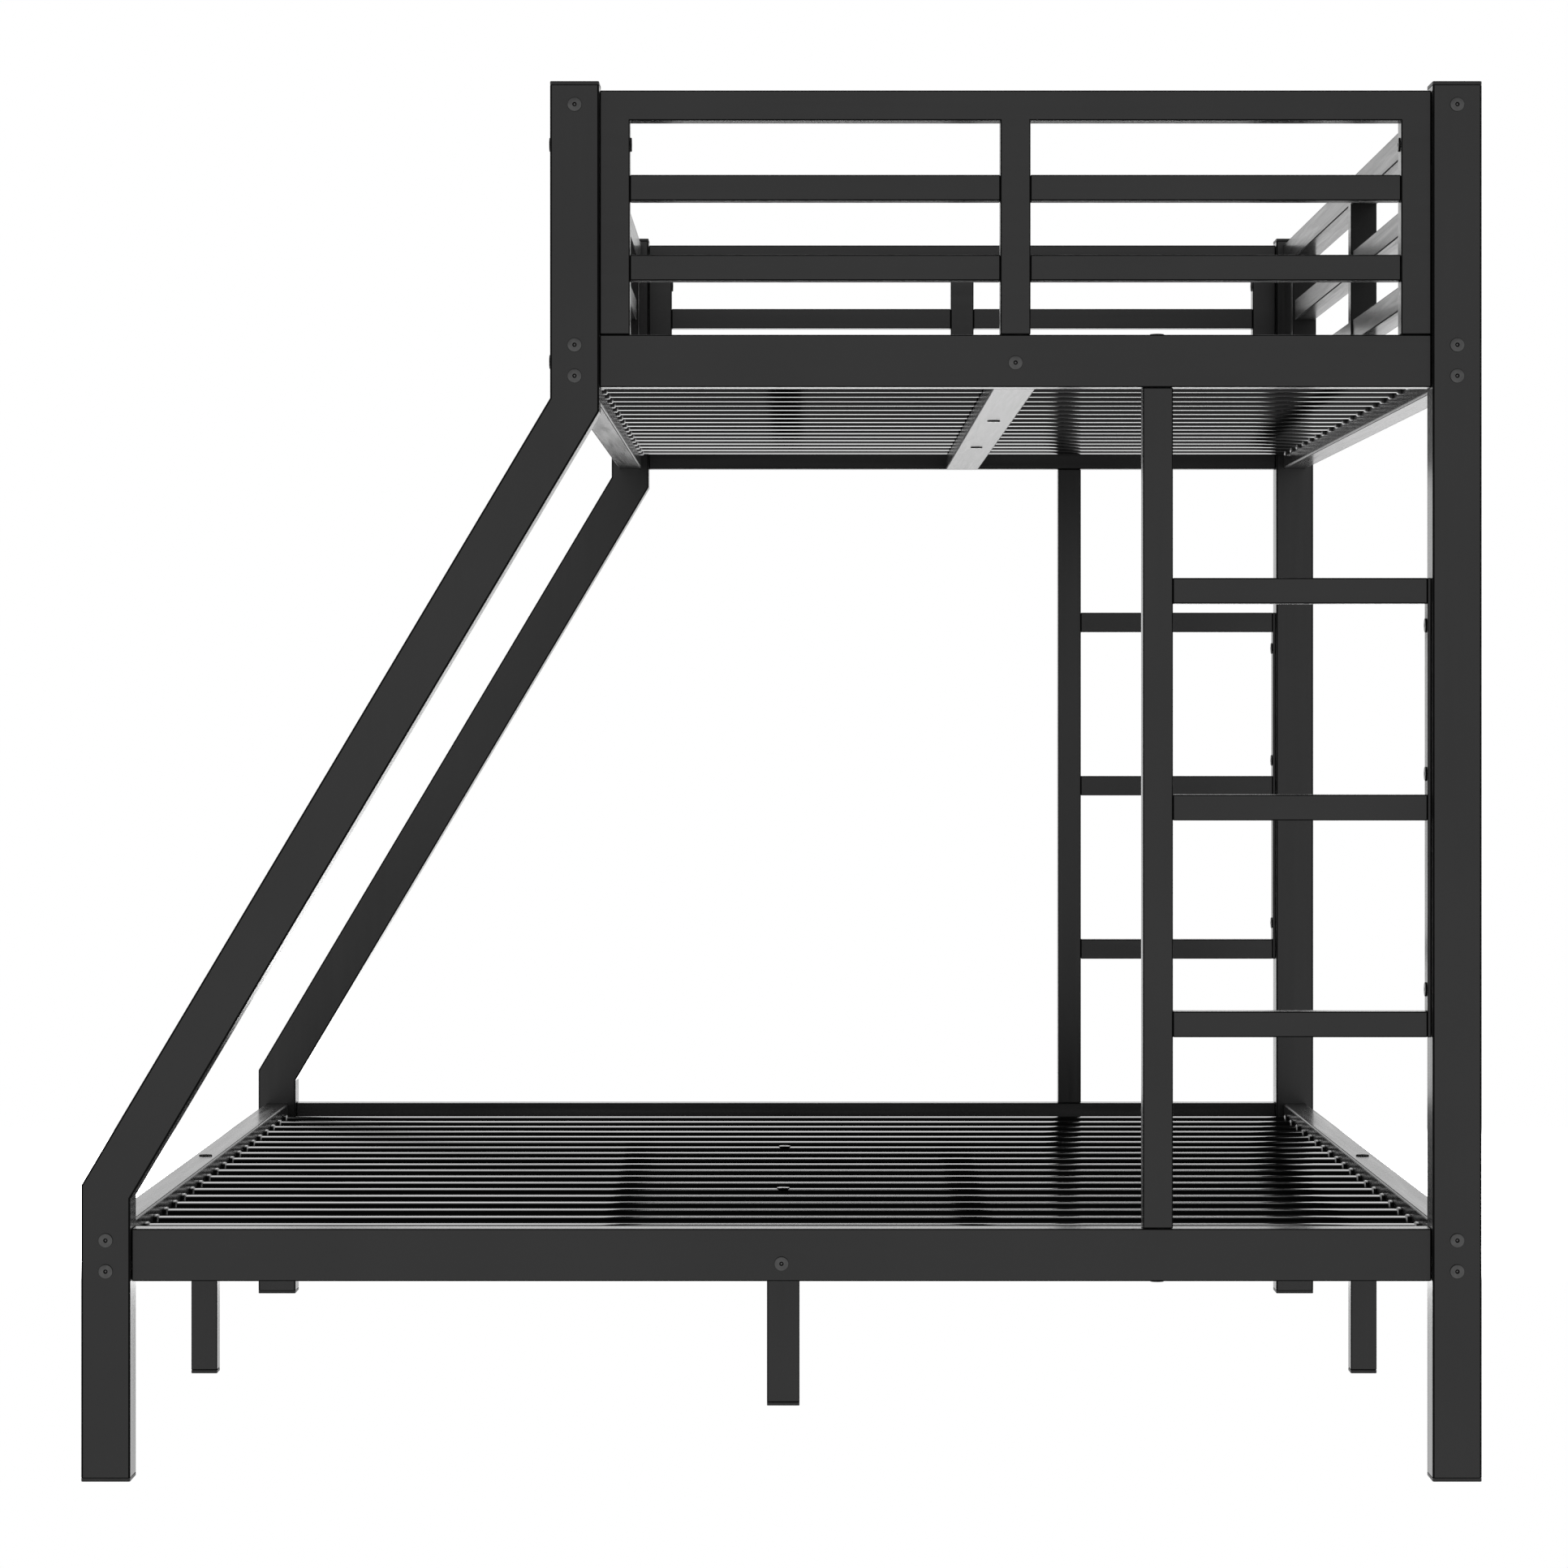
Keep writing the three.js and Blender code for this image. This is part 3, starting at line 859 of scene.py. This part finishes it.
def cup_pattern():
    """A cup with its back to the left and its mouth to the right."""
    cup = start_rod("cup_pattern", CUP_ROUND, CUP_LONG, [cup_plastic, painted_edge_shade])
    pick(cup, "faces", lambda f: f.normal.x > 0.9)
    bpy.ops.mesh.inset(thickness=CUP_LIP)
    pull_out(-CUP_DEEP, 0, 0)
    pick(cup, "edges", is_cup_rim)
    bpy.ops.mesh.bevel(offset=CUP_TAPER, segments=1, affect="EDGES")
    smooth_round(cup)
    return cup


print("The cup is", round(CUP_ROUND - SLAT_ROUND, 4), "wider than its slat")

# %% [markdown]
# ## Laying the decks
# A flat beam along the middle of each deck holds all the slats up. They lie in shallow saddles, so
# the beam reaches half a millimetre into them. For each slat there are three copies: the slat, the
# cup at its left end and the same cup turned half a circle at its right end.

# %% The slats, cups and beams of both decks
SLAT_ABOVE_RAIL_FOOT = 0.0326
BEAM_WIDE = 0.050
BEAM_SADDLE = 0.0005


def deck_of_slats(deck):
    """All the slats and cups of a deck and its beam, of which it gives back the size."""
    rack = f"{deck}_slat_rack"
    low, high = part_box(rack)
    slat, cup = slat_pattern(high.x - low.x), cup_pattern()
    middle, level = (low.x + high.x) / 2, low.z + SLAT_ABOVE_RAIL_FOOT
    turned = Matrix.Rotation(math.radians(180), 4, "Z")
    for i, y in enumerate(slat_places(deck)):
        here = Matrix.Translation((middle, y, level))
        copy_piece(slat, f"{deck}_slat_{i + 1:02}", here, [rack])
        left = Matrix.Translation((low.x + CUP_LONG / 2, y, level))
        right = Matrix.Translation((high.x - CUP_LONG / 2, y, level)) @ turned
        copy_piece(cup, f"{deck}_slat_{i + 1:02}_left_cup", left, [rack])
        copy_piece(cup, f"{deck}_slat_{i + 1:02}_right_cup", right, [rack])
    put_away(slat)
    put_away(cup)
    beam_top = level - SLAT_ROUND / 2 + BEAM_SADDLE
    beam_low = Vector((middle - BEAM_WIDE / 2, low.y, low.z))
    beam_high = Vector((middle + BEAM_WIDE / 2, high.y, beam_top))
    square_tube(f"{deck}_centre_beam", beam_low, beam_high, [rack])
    return beam_high - beam_low


for deck in DECKS:
    print(deck, "beam", [round(v, 4) for v in deck_of_slats(deck)])

# %% [markdown]
# ## The bolts
# Everything is held by low round-headed bolts with a socket for the key. The head is a disc with
# its rim rounded, its socket inset and sunk, and its shank drawn out of the other side. The
# socket's walls and the head's side get painted shade. Each kind is made once, upright with the
# underside of its head at the origin, and each copy is turned to face the way it is driven. The
# bolts over the side legs have a wider, rounder head, painted all over with the same dull black
# shade.

# %% Three kinds of bolt
BOLT_HEAD = 0.0166
LEG_BOLT_HEAD = 0.0178
HEAD_HIGH = 0.0020
SOCKET = 0.0052
SOCKET_DEEP = 0.0014
SHANK = 0.008
LONG_SHANK = 0.064
SHORT_SHANK = 0.022
RIM_ROUND = 0.0008
LEG_BOLT_RIM_ROUND = 0.0012
HEAD_SIDES = 24
SOCKET_FLOOR = 0.45


def is_socket_wall(face):
    """True for the sloping faces inside the socket."""
    return 0 < face.calc_center_median().xy.length < SOCKET * 0.49 and abs(face.normal.z) < 0.95


def bolt_pattern(shank_long, head=BOLT_HEAD, rim=RIM_ROUND, finish=bolt_steel):
    """A bolt along z, the underside of its head at the origin and its shank downwards."""
    bpy.ops.object.select_all(action="DESELECT")
    bpy.ops.mesh.primitive_cylinder_add(
        vertices=HEAD_SIDES, radius=head / 2, depth=HEAD_HIGH, location=(0, 0, HEAD_HIGH / 2)
    )
    bolt = bpy.context.active_object
    bolt.name = bolt.data.name = "bolt_pattern"
    bpy.ops.object.transform_apply(location=True, rotation=True, scale=True)
    bolt.data.materials.append(finish)
    bolt.data.materials.append(bolt_shadow)
    bpy.ops.object.mode_set(mode="EDIT")
    pick(bolt, "edges", lambda e: is_corner(e) and middle_of(e).z > HEAD_HIGH / 2)
    bpy.ops.mesh.bevel(offset=rim, segments=3, profile=0.5, affect="EDGES")
    pick(bolt, "faces", lambda f: f.normal.z > 0.99)
    bpy.ops.mesh.inset(thickness=(head - SOCKET) / 2 - rim)
    pull_out(0, 0, -SOCKET_DEEP)
    smaller = (SOCKET_FLOOR, SOCKET_FLOOR, 1)
    bpy.ops.transform.resize(value=smaller, center_override=(0, 0, HEAD_HIGH))
    # Painted shade: the socket's walls and the head's side get the dull black bolt_shadow.
    bolt.active_material_index = 1
    pick(bolt, "faces", is_socket_wall)
    bpy.ops.object.material_slot_assign()
    pick(bolt, "faces", lambda f: f.calc_center_median().xy.length > head * 0.49)
    bpy.ops.object.material_slot_assign()
    pick(bolt, "faces", lambda f: f.normal.z < -0.99)
    bpy.ops.mesh.inset(thickness=(head - SHANK) / 2)
    pull_out(0, 0, -shank_long)
    smooth_round(bolt)
    return bolt


long_bolt = bolt_pattern(LONG_SHANK)
short_bolt = bolt_pattern(SHORT_SHANK)
# The side-leg bolts' heads are painted shade all over, the dull black bolt_shadow.
leg_bolt = bolt_pattern(SHORT_SHANK, LEG_BOLT_HEAD, LEG_BOLT_RIM_ROUND, bolt_shadow)
print("A bolt has", len(long_bolt.data.polygons), "faces")

# %% [markdown]
# ## Driving the bolts
# A bolt's place is the point under its head, and its facing is the way the head looks. Turning a
# bolt that looks up to a new facing is one rotation from the upward direction. The bolts through
# the posts stand where the frame has them; the others follow from the pieces that they hold.

# %% The bolts through the posts
def drive(bolt, name, place, facing, stands_for=()):
    """A copy of a bolt with the underside of its head at a place, looking a given way."""
    turn = Vector((0, 0, 1)).rotation_difference(Vector(facing)).to_matrix().to_4x4()
    where = Matrix.Translation(place) @ turn
    return copy_piece(bolt, name, where, stands_for)


HEAD_STANDS_OFF = 0.0028
OUTWARD = {"front": (0, -1, 0), "back": (0, 1, 0), "lean": (-1, 0, 0), "straight": (1, 0, 0)}


def head_of(node, facing):
    """The point under a bolt's head, from the box of its node and the way it looks."""
    low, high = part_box(node)
    place = (low + high) / 2
    axis = 0 if facing[0] else 1
    outer = high[axis] if facing[axis] > 0 else low[axis]
    place[axis] = outer - facing[axis] * HEAD_STANDS_OFF
    return place


driven = 0
for end in ENDS:
    for post in ("lean", "straight"):
        for deck in DECKS:
            for which in ("low", "high", "end"):
                node = f"{end}_{post}_{deck}_bolt_{which}"
                facing = OUTWARD[post] if which == "end" else OUTWARD[end]
                drive(long_bolt, f"{node}_head", head_of(node, facing), facing, [node])
                driven += 1
print(driven, "bolts through the posts")

# %% [markdown]
# ## The bolts of the guardrails and beams
# Each guardrail's top rail is bolted through the post, once from the end and once from the side,
# with a matching nut inside the end upright. A bolt through each end rail holds the deck's centre
# beam. The guardrails' bolts are measured down from the top of the bed, and the beams' bolts from
# the top of their rail.

# %% The bolts of the guardrails and beams
SIDE_GUARD_BOLT_DOWN = 0.027
END_GUARD_BOLT_DOWN = 0.071
BEAM_BOLT_DOWN = {"upper": 0.0325, "lower": 0.0405}
POST_GAP = 0.0003

for end in ENDS:
    look = Vector(OUTWARD[end])
    for post in ("lean", "straight"):
        low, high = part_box(f"{end}_{post}_post")
        thick = high.y - low.y
        top_x = high.x - thick / 2
        middle_y = (low.y + high.y) / 2
        face = middle_y + look.y * thick / 2
        place = Vector((top_x, face, frame_high.z - SIDE_GUARD_BOLT_DOWN))
        drive(short_bolt, f"{end}_{post}_side_guard_bolt", place, look)
        side = Vector(OUTWARD[post])
        level = frame_high.z - END_GUARD_BOLT_DOWN
        outer = Vector((top_x + side.x * thick / 2, middle_y, level))
        drive(short_bolt, f"{end}_{post}_end_guard_bolt", outer, side)
        inner = outer - side * (thick + POST_GAP + GUARD_TUBE)
        drive(short_bolt, f"{end}_{post}_end_guard_nut", inner, -side)
    for deck in DECKS:
        low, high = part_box(f"{end}_{deck}_end_rail")
        face = (low.y + high.y) / 2 + look.y * ((high.y - low.y) / 2)
        place = Vector(((low.x + high.x) / 2, face, high.z - BEAM_BOLT_DOWN[deck]))
        drive(short_bolt, f"{end}_{deck}_beam_bolt", place, look)
placed = [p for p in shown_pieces() if p.name.endswith(("guard_bolt", "guard_nut", "beam_bolt"))]
print(len(placed), "bolts and nuts in the guardrails and beams")

# %% [markdown]
# ## The bolts of the ladders, legs and slats
# The ladder's stile hangs on a bolt through the upper end rail and one through the lower, and its
# strip has three along the post. The side legs are bolted from above through the side rails. At
# each centre leg a bolt goes through a slat and the beam, and the same is done at the same places
# on the upper deck, where a nut closes it from below. A slat is pressed a little flat under its
# bolt, so the head sits just below the slat's top.

# %% The bolts of the ladders, legs and slats
STRIP_BOLTS = [0.055, 0.228, 0.479]
SLAT_FLAT = 0.0008
UP, DOWN = (0, 0, 1), (0, 0, -1)

for end in ENDS:
    low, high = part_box(f"{end}_ladder")
    stile_x, middle_y = low.x + STILE / 2, (low.y + high.y) / 2
    top = Vector((stile_x, middle_y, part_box(f"{end}_upper_end_rail")[1].z))
    drive(short_bolt, f"{end}_ladder_top_bolt", top, UP)
    under = Vector((stile_x, middle_y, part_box(f"{end}_lower_end_rail")[0].z))
    drive(short_bolt, f"{end}_ladder_low_bolt", under, DOWN)
    for i, down in enumerate(STRIP_BOLTS):
        place = Vector((high.x - STRIP, middle_y, rung_tops(end)[-1] - down))
        drive(short_bolt, f"{end}_ladder_strip_bolt_{i + 1}", place, (-1, 0, 0))

for side in ("left", "right"):
    low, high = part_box(f"{side}_lower_side_rail")
    place = Vector(((low.x + high.x) / 2, (low.y + high.y) / 2, high.z))
    drive(leg_bolt, f"{side}_side_leg_bolt", place, UP)

for end in ENDS:
    low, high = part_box(f"{end}_centre_leg")
    leg_y = (low.y + high.y) / 2
    for deck in DECKS:
        rack_low, rack_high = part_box(f"{deck}_slat_rack")
        middle_x = (rack_low.x + rack_high.x) / 2
        slat_top = rack_low.z + SLAT_ABOVE_RAIL_FOOT + SLAT_ROUND / 2 - SLAT_FLAT
        drive(short_bolt, f"{end}_{deck}_slat_bolt", Vector((middle_x, leg_y, slat_top)), UP)
    under = Vector((middle_x, leg_y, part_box("upper_slat_rack")[0].z))
    drive(short_bolt, f"{end}_upper_beam_nut", under, DOWN)

put_away(long_bolt)
put_away(short_bolt)
put_away(leg_bolt)

# %% [markdown]
# ## The frame's box
# The finished bed has to fill the same box as its frame, so the frame's box is printed.

# %% Print the frame's box
print("Frame", [round(v, 4) for v in frame_high - frame_low])
